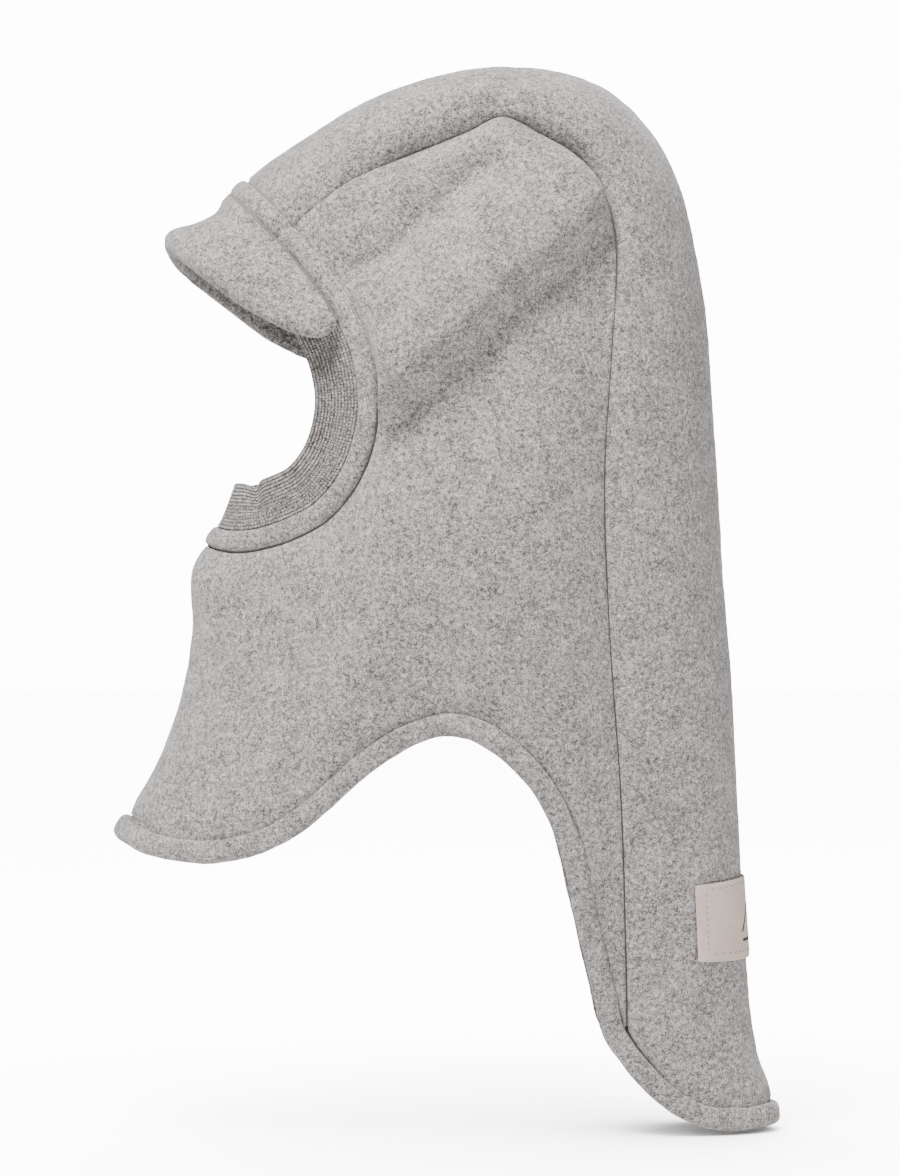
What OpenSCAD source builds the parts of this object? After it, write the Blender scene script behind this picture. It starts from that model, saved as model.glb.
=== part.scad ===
// Child's winter balaclava: fleece side panels and crown gusset, bound face opening with a rib
// cuff, soft brim, bib at the chest and a long tail down the back.
// The wearer faces -X and stands along +Z. The origin is the middle of the head.

/* [Size] */
// Length from the bib's front edge to the tail's tip
hood_length = 273; // [230:1:330]
// Height of the crown above the middle of the head
crown_rise = 97; // [80:1:118]
// Drop of the tail's seam below the middle of the head
tail_drop = 336; // [270:1:400]
// Breadth of the hood over the ears
head_breadth = 108; // [90:1:130]
// Breadth of the crown gusset at the crown
gusset_breadth = 86; // [72:1:100]
// Breadth of the tail just above its rounded end
tail_breadth = 50; // [40:1:64]

/* [Cloth] */
// Thickness of the outer fleece
fleece = 2.8; // [2:0.1:3.6]
// Thickness of the lining
lining = 1.2; // [0.8:0.1:1.8]
// Space between two layers that lie on each other
layer_gap = 0.4; // [0.3:0.1:0.8]
// Opening between two cut edges that a seam joins
seam_gap = 0.6; // [0.4:0.1:1]
// Diameter of a sewn seam's raised thread line
seam_d = 1.6; // [1.2:0.1:2.4]

/* [Face opening] */
// Width of the rolled binding round the face
binding_w = 9; // [7:0.5:12]
// Thickness of the rolled binding
binding_t = 5.4; // [4:0.2:7]
// Width of the knitted rib cuff
rib_w = 20; // [14:1:26]
// Thickness of the knitted rib cuff
rib_t = 2.6; // [1.6:0.2:3.6]

/* [Hem] */
// Width of the turned hem
hem_w = 10.5; // [8:0.5:14]
// Thickness of the turned hem
hem_t = 5.6; // [4.6:0.2:7]

/* [Brim] */
// Reach of the brim from its seam to its front edge
brim_reach = 34; // [26:1:42]
// Thickness of the brim's top cloth and of its underside cloth
brim_cloth = 1.8; // [1.4:0.1:2.6]
// Thickness of the stiffening interlining
stiffener_t = 0.8; // [0.6:0.1:1.6]
// Margin from the brim's edge to the stiffener
stiffener_inset = 3; // [2:0.5:6]
// Height of the brim's soft crown across its width
brim_crown = 3; // [0:0.5:6]

/* [Label] */
// Width of the patch round the back of the tail
label_w = 62; // [40:1:66]
// Height of the patch
label_h = 33; // [24:1:42]
// Thickness of the patch
label_t = 1.2; // [0.8:0.1:1.8]
// Height of the patch's middle above the tail's end
label_up = 79; // [60:1:110]
// Length of one stitch
stitch_l = 1.4; // [1:0.1:3.4]
// Distance from the patch's edge to its stitches
stitch_inset = 2.4; // [1.8:0.1:3.4]

/* [Hidden] */

fleece_grey = [0.66, 0.65, 0.645];
knit_grey = [0.56, 0.545, 0.53];
lining_grey = [0.78, 0.76, 0.72];
thread_grey = [0.5, 0.49, 0.48];
patch_beige = [0.82, 0.75, 0.71];

panel_rows = 16;      // steps of a side panel from the face to the hem
front_columns = 6;    // steps from the front fold to the cheek line
back_columns = 9;     // steps from the cheek line to the crown seam
gusset_rows = 28;     // steps of the gusset from the forehead to the tail
gusset_columns = 10;  // steps of the gusset from seam to seam

// ---- Outlines. Points are [x, half breadth, z] of the middle size; the sizes above stretch them.
kx = hood_length / 273;
kr = crown_rise / 97;
kd = tail_drop / 336;
kb = head_breadth / 108;
kg = gusset_breadth / 86;
kt = tail_breadth / 50;
function fit(p, k) = [p.x * kx, p.y * k, p.z * (p.z > 0 ? kr : kd)];
function fit_all(list, k) = [for (p = list) fit(p, k)];

// Back line of the gusset, from the forehead over the crown to the tail's tip
back_line = fit_all([[-107, 0, 50], [-84, 0, 66], [-50, 0, 86], [0, 0, 97], [42, 0, 89],
    [70, 0, 60], [84, 0, 10], [89, 0, -42], [93, 0, -105], [98, 0, -175], [102, 0, -255],
    [108, 0, -315], [116, 0, -335]], 1);
// Seam between the gusset and a side panel
crown_line = concat(
    fit_all([[-86, 37, 28], [-60, 40, 48], [-30, 42, 62], [0, 43, 70.5], [26, 43, 62],
        [41, 43, 46], [47, 44, 20], [45, 45, -22], [42, 45, -75], [44, 42, -135]], kg),
    fit_all([[49, 37, -205], [51, 31, -260], [52, 25, -303]], kt));
// Seam round the face opening, from the chin up the cheek to the crown seam
cheek_top = 6;
face_line = concat(
    fit_all([[-124, 0, -102], [-121, 9, -104], [-108, 20, -106], [-89, 30, -102], [-70, 38, -92],
        [-56, 45, -73], [-50, 50, -48], [-53, 50, -24], [-64, 46, 0]], kb),
    [crown_line[0]]);
// Front fold from the chin to the bib
front_line = fit_all([[-124, 0, -102], [-130, 0, -114], [-129.5, 0, -135], [-134, 0, -165],
    [-144, 0, -193], [-157, 0, -215]], 1);
// Hem seam from the bib over the shoulder arch down to the tail
arch_top = 6;
hem_line = concat(
    fit_all([[-157, 0, -215], [-154, 13, -217], [-140, 29, -222], [-115, 41, -223],
        [-90, 47, -214], [-58, 51, -187], [-36, 51, -174], [-18, 51, -171], [0, 51, -178], [20, 48, -197]], kb),
    fit_all([[33, 43, -223], [41, 35, -258]], kt),
    [crown_line[len(crown_line) - 1]]);
tail_sag = 15;      // the tail's rounded end hangs this far below a straight edge
sag_from = 0.86;    // share of the gusset's length at which the rounded end begins
side_bulge = 3;     // soft fullness of a side panel

// ---- Curves: [points, knots, slopes], read by share of the whole length
function mix(a, b, t) = a + (b - a) * t;
function unit(v) = v / norm(v);
function ease(t) = let (c = max(0, min(1, t))) c * c * (3 - 2 * c);
function sum_to(list, n) = n <= 0 ? 0 : list[n - 1] + sum_to(list, n - 1);
function track(p) = let (
    n = len(p),
    legs = [for (i = [0:n - 2]) norm(p[i + 1] - p[i])],
    total = sum_to(legs, n - 1),
    k = [for (i = [0:n - 1]) sum_to(legs, i) / total],
    inner = [for (i = [1:n - 2]) (p[i + 1] - p[i - 1]) / (k[i + 1] - k[i - 1])],
    first = (p[1] - p[0]) / k[1] * 1.5 - inner[0] * 0.5,
    last = (p[n - 1] - p[n - 2]) / (1 - k[n - 2]) * 1.5 - inner[n - 3] * 0.5)
    [p, k, concat([first], inner, [last]), total];
function leg_of(k, t, i = 0) = (i >= len(k) - 2 || t < k[i + 1]) ? i : leg_of(k, t, i + 1);
function at(c, t) = let (
    i = leg_of(c[1], t),
    h = c[1][i + 1] - c[1][i],
    s = (t - c[1][i]) / h)
    c[0][i] * (1 + 2 * s) * pow(1 - s, 2) + c[2][i] * h * s * pow(1 - s, 2)
    + c[0][i + 1] * s * s * (3 - 2 * s) - c[2][i + 1] * h * s * s * (1 - s);

BACK = track(back_line);
CROWN = track(crown_line);
FACE = track(face_line);
FRONT = track(front_line);
HEM = track(hem_line);
cheek_at = FACE[1][cheek_top];
arch_at = HEM[1][arch_top];
CHEEK = track(concat([face_line[cheek_top]],
    fit_all([[-44, 53, -88], [-38, 54, -132]], kb), [hem_line[arch_top]]));

// ---- Surfaces
function coons(f, h, l, r, c, u, v) = mix(f, h, u) + mix(l, r, v)
    - mix(mix(c[0], c[1], v), mix(c[2], c[3], v), u);
// Left side panel: u from the face seam to the hem seam, j in columns from the front fold to the
// crown seam. Columns up to front_columns reach the cheek line.
function side_point(u, j) = let (
    front = j <= front_columns,
    v = front ? j / front_columns : (j - front_columns) / back_columns,
    fa = front ? 0 : cheek_at,
    fb = front ? cheek_at : 1,
    ha = front ? 0 : arch_at,
    hb = front ? arch_at : 1,
    L = front ? FRONT : CHEEK,
    R = front ? CHEEK : CROWN,
    across = j / (front_columns + back_columns),
    p = coons(at(FACE, mix(fa, fb, v)), at(HEM, mix(ha, hb, v)), at(L, u), at(R, u),
        [at(FACE, fa), at(FACE, fb), at(HEM, ha), at(HEM, hb)], u, v))
    [p.x, -max(p.y + side_bulge * sin(180 * u) * sin(180 * across), seam_gap / 2), p.z];
// Gusset: s from the forehead to the tail's end, f from -1 (left seam) to 1 (right seam)
function gusset_point(s, f) = let (
    a = 90 * f,
    b = at(BACK, s),
    c = at(CROWN, s),
    p = mix(b, c, 1 - cos(a)))
    [p.x, c.y * sin(a), p.z - gusset_sag(s, f)];
function gusset_sag(s, f) = tail_sag * sin(180 * f * f) * ease((s - sag_from) / (1 - sag_from));

// ---- Solids from point grids
// Outward normals of a grid whose rows run one way and whose columns run across
function grid_normals(g, fold = false) = [for (i = [0:len(g) - 1])
    [for (j = [0:len(g[0]) - 1]) let (
        along = g[min(i + 1, len(g) - 1)][j] - g[max(i - 1, 0)][j],
        across = (fold && j == 0) ? [0, -1, 0]
            : g[i][min(j + 1, len(g[0]) - 1)] - g[i][max(j - 1, 0)])
        unit(cross(along, across))]];
// Rings round a cloth whose outer face is the grid g and whose inner face is the grid h
function rings_between(g, h) = [for (i = [0:len(g) - 1])
    concat(g[i], [for (j = [len(h[i]) - 1:-1:0]) h[i][j]])];
function sunk(g, n, depth) = [for (i = [0:len(g) - 1])
    [for (j = [0:len(g[i]) - 1]) g[i][j] - n[i][j] * depth]];
// Rings of a cloth that lies from depth `top` to depth `top + thick` under the grid
function cloth_rings(g, n, top, thick) =
    rings_between(sunk(g, n, top), sunk(g, n, top + thick));
// Closed skin over rings of points; the ends are capped, or joined when it is a loop
module skin(rings, loop = false) {
    m = len(rings[0]);
    n = len(rings);
    walls = [for (i = [0:loop ? n - 1 : n - 2], j = [0:m - 1]) let (
        a = i * m + j, b = i * m + (j + 1) % m,
        c = ((i + 1) % n) * m + j, d = ((i + 1) % n) * m + (j + 1) % m)
        each [[a, b, d], [a, d, c]]];
    e = (n - 1) * m;
    caps = loop ? [] : [for (j = [0:m / 2 - 2]) each [
        [j, m - 1 - j, j + 1], [j + 1, m - 1 - j, m - 2 - j],
        [e + j, e + j + 1, e + m - 1 - j], [e + j + 1, e + m - 2 - j, e + m - 1 - j]]];
    polyhedron([for (r = rings) each r], concat(walls, caps), convexity = 10);
}
function soft(x, k) = sign(x) * pow(abs(x), k);
squareness = 0.7;    // 1 is an ellipse, less is squarer
// Rounded section of width w along d and thickness t along n
function oval(c, d, n, w, t, sides = 8) = [for (k = [0:sides - 1])
    let (a = -360 * (k + 0.5) / sides)
    c + d * w / 2 * soft(cos(a), squareness) + n * t / 2 * soft(sin(a), squareness)];

// ---- Loops round the face opening and the hem: a right half, then its mirror image
function flip_y(p) = [p.x, -p.y, p.z];
function whole(half) = concat(half, [for (i = [len(half) - 2:-1:1]) flip_y(half[i])]);
function side_dir(half, i, turn) = let (
    a = half[max(i - 1, 0)],
    b = half[min(i + 1, len(half) - 1)],
    d = unit([b.x - a.x, 0, b.z - a.z]))
    [-d.z, 0, d.x] * turn;
function loop_normal(path, dirs, i) = let (
    n = len(path), t = path[(i + 1) % n] - path[(i + n - 1) % n])
    unit(cross(t, dirs[i]));

brow_steps = 5;
face_steps = 22;
hem_steps = 24;
end_steps = 6;
face_half = concat(
    [for (i = [0:brow_steps - 1]) gusset_point(0, i / brow_steps)],
    [for (i = [0:face_steps]) at(FACE, 1 - i / face_steps)]);
hem_half = concat(
    [for (i = [0:hem_steps]) at(HEM, i / hem_steps)],
    [for (i = [end_steps - 1:-1:0]) gusset_point(1, i / end_steps)]);
face_in = 0.2;     // the binding leans in towards the face by this share
rib_in = 0.5;      // and the rib cuff by this share
brow_in = 0.2;     // and the rib over the brow by this share
brow_back = 0.1;   // the rib over the brow tips back by this share of its drop
brow_low = -12;    // the rib turns down under the brim from this height
brow_span = 45;    // and is fully turned this much higher
half_head = head_breadth / 2;
bind_proud = 1;    // the binding's roll stands over the panels by this
bind_deep = binding_t / 2 - bind_proud;
bind_dirs = [for (i = [0:len(face_half) - 1]) unit(side_dir(face_half, i, -1)
    - [0, face_in * face_half[i].y / half_head, 0])];
bind_inner = [for (i = [0:len(face_half) - 1]) face_half[i] + bind_dirs[i] * binding_w];
brow = [for (p = bind_inner) ease((p.z - brow_low) / brow_span)];   // 1 at the middle of the brow
rib_dirs = [for (i = [0:len(face_half) - 1]) unit(mix(
    side_dir(face_half, i, -1) - [0, rib_in * face_half[i].y / half_head, 0],
    [brow_back, -brow_in * face_half[i].y / half_head, -1], brow[i]))];
brim_t = 2 * brim_cloth + stiffener_t + 2 * layer_gap;
brim_proud = 2;      // the brim's top stands this far over the binding's surface line
// Under the brim the rib lies deeper, against the forehead
rib_deep = [for (w = brow) mix(bind_deep, brim_t - brim_proud + layer_gap + rib_t / 2, w)];
hem_dirs = [for (i = [0:len(hem_half) - 1]) side_dir(hem_half, i, -1)];

// Band that starts `start` past a path and is w wide, sunk by `deep` at each point
module band(half, half_dirs, start, w, t, deep, sides = 8) {
    path = whole(half);
    dirs = whole(half_dirs);
    last = len(half) - 1;
    skin([for (i = [0:len(path) - 1]) let (
        n = loop_normal(path, dirs, i),
        sink = deep[i <= last ? i : 2 * last - i])
        oval(path[i] + dirs[i] * (start + w / 2) - n * sink, dirs[i], n, w, t, sides)], true);
}
function same(half, value) = [for (p = half) value];

// ---- Thread lines
// Round line of diameter d along an open path, sunk under its surface normals
module line_along(path, normals, d, deep) {
    n = len(path);
    skin([for (i = [0:n - 1]) let (
        t = unit(path[min(i + 1, n - 1)] - path[max(i - 1, 0)]),
        up = unit(normals[i] - t * (normals[i] * t)),
        side = cross(up, t))
        oval(path[i] - normals[i] * deep, side, up, d, d, 6)]);
}

// ---- Panels
u_inset = seam_gap / 2 / 100;         // half a seam gap as a share of a panel's height
v_inset = seam_gap / 2 / 10;          // and in columns of the panel grid
f_inset = seam_gap / 2 / 30;          // and as a share of the gusset's half breadth
s_inset = seam_gap / 2 / 500;         // and of the gusset's length
side_columns = front_columns + back_columns;
side_grid = [for (i = [0:panel_rows]) [for (j = [0:side_columns])
    side_point(mix(u_inset, 1 - u_inset, i / panel_rows), min(j, side_columns - v_inset))]];
side_normals = grid_normals(side_grid, true);
gusset_grid = [for (i = [0:gusset_rows]) [for (j = [0:gusset_columns])
    gusset_point(mix(s_inset, 1 - s_inset, i / gusset_rows),
        (1 - f_inset) * (2 * j / gusset_columns - 1))]];
gusset_normals = grid_normals(gusset_grid);
under = fleece + layer_gap;

module side_panel_left() color(fleece_grey)
    skin(cloth_rings(side_grid, side_normals, 0, fleece));
module side_panel_right() mirror([0, 1, 0]) side_panel_left();
module side_lining_left() color(lining_grey)
    skin(cloth_rings(side_grid, side_normals, under, lining));
module side_lining_right() mirror([0, 1, 0]) side_lining_left();
module centre_panel() color(fleece_grey)
    skin(cloth_rings(gusset_grid, gusset_normals, 0, fleece));
module centre_lining() color(lining_grey)
    skin(cloth_rings(gusset_grid, gusset_normals, under, lining));

// ---- Edges
hem_proud = 0.6;                     // the hem's roll stands over the panels by this
hem_deep = hem_t / 2 - hem_proud;
module face_binding() color(fleece_grey) band(face_half, bind_dirs, seam_gap / 2,
    binding_w - seam_gap, binding_t, same(face_half, bind_deep));
module rib_cuff() color(knit_grey)
    band(bind_inner, rib_dirs, seam_gap / 2, rib_w, rib_t, rib_deep);
module hem_band() color(fleece_grey) band(hem_half, hem_dirs, seam_gap / 2,
    hem_w - seam_gap, hem_t, same(hem_half, hem_deep));

// ---- Brim. a runs from its middle (0) to its temple end (1), b from its seam to its edge.
brim_last = brow_steps + 5;     // the brim's seam ends at this point of the face opening
brim_rows = 8;
brim_columns = 5;
brim_slope = [-0.77, 0, -0.63];
temple_slope = [-0.5, 0.15, -0.86];
temple_rise = 3;                // the brim's ends ride up over the rib by this much
brim_min = 1.5;                 // width of the brim at its very ends
brim_taper = 2.2;               // 2 tapers the brim as an ellipse, more keeps its ends wide
ROOT = track([for (i = [0:brim_last]) bind_inner[i]]);
function brim_dir(a) = unit(mix(brim_slope, temple_slope, a * a));
near = 0.04;                    // step along the seam for its direction
function brim_normal(a) = unit(cross(at(ROOT, min(a + near, 1)) - at(ROOT, max(a - near, 0))
    + [0, a < near ? 1 : 0, 0], brim_dir(a)));
function brim_width(a) = max(brim_min, brim_reach * sqrt(1 - pow(a, brim_taper)));
function brim_point(a, from, to, b, depth) = let (
    w = brim_width(a),
    r = mix(from, max(from + brim_min, w - to), b))
    at(ROOT, a) + brim_dir(a) * r + brim_normal(a) * (brim_proud + temple_rise * a * a
        + brim_crown * sin(180 * min(1, r / w)) * (1 - a * a) - depth);
// Grid of a brim layer that starts `from` past the seam and ends `to` short of the edge, and
// reaches `rows` rows to each side of the middle
function brim_grid(from, to, rows, depth) = [for (i = [-rows:rows])
    [for (j = [0:brim_columns]) let (
        p = brim_point(sin(90 * abs(i) / brim_rows), from, to, j / brim_columns, depth))
        i < 0 ? flip_y(p) : p]];
module brim_layer(from, to, rows, top, thick) skin(rings_between(
    brim_grid(from, to, rows, top), brim_grid(from, to, rows, top + thick)));
stiffener_rows = brim_rows - 2; // the interlining stops short of the temple ends
module brim_top() color(fleece_grey) brim_layer(seam_gap, 0, brim_rows, 0, brim_cloth);
module brim_stiffener() color(lining_grey) brim_layer(seam_gap + stiffener_inset,
    stiffener_inset, stiffener_rows, brim_cloth + layer_gap, stiffener_t);
module brim_underside() color(fleece_grey)
    brim_layer(seam_gap, 0, brim_rows, brim_t - brim_cloth, brim_cloth);

// ---- Patch at the back. x is measured across it and y along the tail, from its middle.
patch_at = 1 - label_up / BACK[3];
girth_share = 1.12;             // the cloth's way round is this much longer than its breadth
patch_wrap = 0.97;              // the patch stays inside the gusset's seams
patch_girth = at(CROWN, patch_at).y * girth_share;
// The gusset's rows slant down to the back and sag at the tail's end. The patch lies square
// to the back, so it is moved down by the slant and up by most of the sag.
patch_slant = (at(BACK, patch_at) - at(CROWN, patch_at))
    * unit(at(BACK, patch_at + 0.01) - at(BACK, patch_at - 0.01));
sag_kept = 0.85;
function patch_surface(x, y) = let (
    a = asin(min(patch_wrap, abs(x) / patch_girth)),
    f = a / 90,
    s = patch_at + (y + patch_slant * (1 - cos(a))) / BACK[3])
    gusset_point(s - sag_kept * gusset_sag(s, f) / BACK[3], f * sign(x));
patch_rows = 4;
patch_columns = 12;
patch_grid = [for (i = [0:patch_rows]) [for (j = [0:patch_columns])
    patch_surface(label_w * (j / patch_columns - 0.5), label_h * (i / patch_rows - 0.5))]];
patch_lift = 0.3;
module back_label() color(patch_beige) skin(cloth_rings(patch_grid,
    grid_normals(patch_grid), -patch_lift - label_t, label_t));

stitch_d = 0.6;
stitch_step = stitch_l * 1.9;   // from one stitch to the next
function patch_normal(x, y) = unit(cross(patch_surface(x, y + 1) - patch_surface(x, y - 1),
    patch_surface(x + 1, y) - patch_surface(x - 1, y)));
module stitch(x, y, dx, dy) {
    ends = [for (k = [-0.5, 0.5]) [x + dx * k * stitch_l, y + dy * k * stitch_l]];
    n = patch_normal(x, y);
    path = [for (e = ends) patch_surface(e.x, e.y) + n * (patch_lift + label_t)];
    t = unit(path[1] - path[0]);
    skin([for (p = path) oval(p, unit(cross(n, t)), n, stitch_d, stitch_d, 4)]);
}
stitch_half_w = label_w / 2 - stitch_inset;
stitch_half_h = label_h / 2 - stitch_inset;
module label_stitches() color(thread_grey) {
    across = floor(2 * stitch_half_w / stitch_step);
    along = floor(2 * stitch_half_h / stitch_step);
    for (i = [0:across - 1], y = [-stitch_half_h, stitch_half_h])
        stitch((i + 0.5 - across / 2) * stitch_step, y, 1, 0);
    for (i = [0:along - 1], x = [-stitch_half_w, stitch_half_w])
        stitch(x, (i + 0.5 - along / 2) * stitch_step, 0, 1);
}

// ---- Seams
thread_proud = 0.3;
thread_deep = seam_d / 2 - thread_proud;
crown_steps = 30;
crown_path = [for (i = [0:crown_steps]) at(CROWN, i / crown_steps)];
crown_out = [for (i = [0:crown_steps]) let (
    s = i / crown_steps,
    d = at(CROWN, min(1, s + near)) - at(CROWN, max(0, s - near)))
    unit(cross(d, gusset_point(s, 1) - gusset_point(s, 1 - near)))];
front_path = [for (row = side_grid) [row[0].x, 0, row[0].z]];
front_out = [for (row = side_normals) row[0]];
brim_path = [for (i = [0:brim_last]) bind_inner[i] - bind_dirs[i] * seam_d / 2];
brim_out = [for (i = [0:brim_last]) loop_normal(whole(bind_inner), whole(bind_dirs), i)];
module crown_seam_right() color(thread_grey)
    line_along(crown_path, crown_out, seam_d, thread_deep);
module crown_seam_left() mirror([0, 1, 0]) crown_seam_right();
module front_seam() color(thread_grey) line_along(front_path, front_out, seam_d, thread_deep);
module face_seam() color(thread_grey)
    band(face_half, bind_dirs, -seam_d / 2, seam_d, seam_d, same(face_half, thread_deep), 6);
module rib_seam() color(thread_grey)
    band(bind_inner, rib_dirs, -seam_d / 2, seam_d, seam_d, rib_deep, 6);
module hem_seam() color(thread_grey)
    band(hem_half, hem_dirs, -seam_d / 2, seam_d, seam_d, same(hem_half, thread_deep), 6);
// The brim's seam runs from temple to temple, so its right half is joined to its mirror image
function both_halves(list) = concat([for (i = [len(list) - 1:-1:1]) flip_y(list[i])], list);
module brim_seam() color(thread_grey)
    line_along(both_halves(brim_path), both_halves(brim_out), seam_d, 0);

centre_panel();
side_panel_left();
side_panel_right();
centre_lining();
side_lining_left();
side_lining_right();
face_binding();
rib_cuff();
hem_band();
brim_top();
brim_underside();
brim_stiffener();
back_label();
label_stitches();
crown_seam_left();
crown_seam_right();
front_seam();
face_seam();
rib_seam();
hem_seam();
brim_seam();
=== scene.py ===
# %% [markdown]
# # A child's winter balaclava
# The hood is sewn from few pieces: two side panels, a long gusset over the crown and down the
# back, a bound face opening with a knitted cuff, a brim, a hem and a patch. One could sculpt it
# as a single cloth, but then no seam would be a real one. So each piece is its own mesh here,
# in the place that its plain CAD solid keeps for it.

# %% Frame
import math

import bmesh
import bpy
import numpy as np
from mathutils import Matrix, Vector, noise


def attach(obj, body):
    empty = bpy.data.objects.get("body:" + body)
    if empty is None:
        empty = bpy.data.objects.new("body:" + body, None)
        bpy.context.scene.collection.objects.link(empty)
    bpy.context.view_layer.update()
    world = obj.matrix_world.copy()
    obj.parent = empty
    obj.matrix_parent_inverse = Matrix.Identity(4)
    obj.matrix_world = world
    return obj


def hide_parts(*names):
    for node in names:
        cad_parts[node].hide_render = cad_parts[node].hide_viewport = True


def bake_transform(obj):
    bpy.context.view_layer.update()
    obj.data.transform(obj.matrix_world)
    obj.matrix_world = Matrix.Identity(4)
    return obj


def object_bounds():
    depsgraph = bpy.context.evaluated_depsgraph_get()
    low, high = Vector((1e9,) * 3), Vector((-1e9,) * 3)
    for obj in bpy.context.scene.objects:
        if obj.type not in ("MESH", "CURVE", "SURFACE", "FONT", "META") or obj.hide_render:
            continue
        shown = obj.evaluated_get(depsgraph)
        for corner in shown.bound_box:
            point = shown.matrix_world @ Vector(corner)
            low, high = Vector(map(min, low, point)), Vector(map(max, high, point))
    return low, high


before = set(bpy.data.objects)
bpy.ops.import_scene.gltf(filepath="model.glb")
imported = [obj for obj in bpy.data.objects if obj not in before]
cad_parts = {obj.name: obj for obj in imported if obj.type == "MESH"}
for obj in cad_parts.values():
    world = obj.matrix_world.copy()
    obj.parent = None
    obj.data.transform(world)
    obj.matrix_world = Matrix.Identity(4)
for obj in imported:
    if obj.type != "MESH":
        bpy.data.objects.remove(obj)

MM = 0.001
cad_low, cad_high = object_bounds()
print("CAD box in mm:", [round(c / MM) for c in cad_high - cad_low])

# %% [markdown]
# ## Outlines
# A pattern cutter draws a hood as a few seam lines. Each line here is a handful of points,
# [x, half breadth, z] in millimetres from the middle of the head, with -X to the face, and a
# smooth curve runs through them. Drawing seams first, and filling the cloth in between them
# afterwards, keeps neighbouring panels edge to edge, as sewing does.

# %% Seam lines
def track(points):
    """A smooth curve through points, read by share of its length with at()."""
    p = np.array(points, float)
    legs = np.linalg.norm(np.diff(p, axis=0), axis=1)
    k = np.concatenate([[0], np.cumsum(legs)]) / legs.sum()
    m = np.zeros_like(p)
    m[1:-1] = (p[2:] - p[:-2]) / (k[2:] - k[:-2])[:, None]
    m[0] = (p[1] - p[0]) / k[1] * 1.5 - m[1] * 0.5
    m[-1] = (p[-1] - p[-2]) / (1 - k[-2]) * 1.5 - m[-2] * 0.5
    return {"points": p, "knots": k, "slopes": m, "length": legs.sum()}


def at(curve, t):
    """Points of a curve at the shares t, as one row of coordinates per share."""
    t = np.asarray(t, float)
    k = curve["knots"]
    i = np.clip(np.searchsorted(k, t, side="right") - 1, 0, len(k) - 2)
    h = (k[i + 1] - k[i])[..., None]
    s = (t - k[i])[..., None] / h
    p, m = curve["points"], curve["slopes"]
    return (p[i] * (1 + 2 * s) * (1 - s) ** 2 + m[i] * h * s * (1 - s) ** 2
            + p[i + 1] * s * s * (3 - 2 * s) - m[i + 1] * h * s * s * (1 - s))


BACK = track([[-107, 0, 50], [-84, 0, 66], [-50, 0, 86], [0, 0, 97], [42, 0, 89], [70, 0, 60],
              [84, 0, 10], [89, 0, -42], [93, 0, -105], [98, 0, -175], [102, 0, -255],
              [108, 0, -315], [116, 0, -335]])
CROWN = track([[-86, 37, 28], [-60, 40, 48], [-30, 42, 62], [0, 43, 70.5], [26, 43, 62],
               [41, 43, 46], [47, 44, 20], [45, 45, -22], [42, 45, -75], [44, 42, -135],
               [49, 37, -205], [51, 31, -260], [52, 25, -303]])
FACE = track([[-124, 0, -102], [-121, 9, -104], [-108, 20, -106], [-89, 30, -102],
              [-70, 38, -92], [-56, 45, -73], [-50, 50, -48], [-53, 50, -24], [-64, 46, 0],
              [-86, 37, 28]])
FRONT = track([[-124, 0, -102], [-130, 0, -114], [-129.5, 0, -135], [-134, 0, -165],
               [-144, 0, -193], [-157, 0, -215]])
HEM = track([[-157, 0, -215], [-154, 13, -217], [-140, 29, -222], [-115, 41, -223],
             [-90, 47, -214], [-58, 51, -187], [-36, 51, -174], [-18, 51, -171], [0, 51, -178],
             [20, 48, -197], [33, 43, -223], [41, 35, -258], [52, 25, -303]])
CHEEK_TOP, ARCH_TOP = 6, 6          # where the cheek line leaves the face and meets the hem
CHEEK = track([FACE["points"][CHEEK_TOP], [-44, 53, -88], [-38, 54, -132],
               HEM["points"][ARCH_TOP]])
cheek_at, arch_at = FACE["knots"][CHEEK_TOP], HEM["knots"][ARCH_TOP]
print("crown seam:", round(CROWN["length"]), "mm; face opening, half:", round(FACE["length"]))

# %% [markdown]
# ## Surfaces between the seams
# A side panel is stretched between four seam lines by blending them, which is called a Coons
# patch. Two patches meet on a line from the cheek to the top of the shoulder arch, so that
# neither has to turn a sharp corner. The gusset is simpler: across it, each section is a
# quarter ellipse from the seam to the middle of the back.

# %% Blending helpers
def mix(a, b, t):
    """The value at share t of the way from a to b."""
    return a + (b - a) * t


def ease(t):
    """A soft step from 0 to 1 as t goes from 0 to 1."""
    c = np.clip(t, 0, 1)
    return c * c * (3 - 2 * c)


def unit(v):
    """Directions of length 1."""
    return v / np.maximum(np.linalg.norm(v, axis=-1, keepdims=True), 1e-9)


def coons(top, bottom, left, right, u, v):
    """Blends four curves: top and bottom run with v, left and right run with u."""
    c = u[..., None], v[..., None]
    corner = [top(np.zeros_like(v)), top(np.ones_like(v)),
              bottom(np.zeros_like(v)), bottom(np.ones_like(v))]
    return (mix(top(v), bottom(v), c[0]) + mix(left(u), right(u), c[1])
            - mix(mix(corner[0], corner[1], c[1]), mix(corner[2], corner[3], c[1]), c[0]))


# %% Panel surfaces
FRONT_SHARE = 0.4        # share of a side panel's columns that lie before the cheek line
SIDE_BULGE = 3.0         # soft fullness of a side panel
TAIL_SAG = 15.0          # the tail's rounded end hangs below a straight edge by this
SAG_FROM = 0.86          # share of the gusset's length at which the rounded end begins


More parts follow.
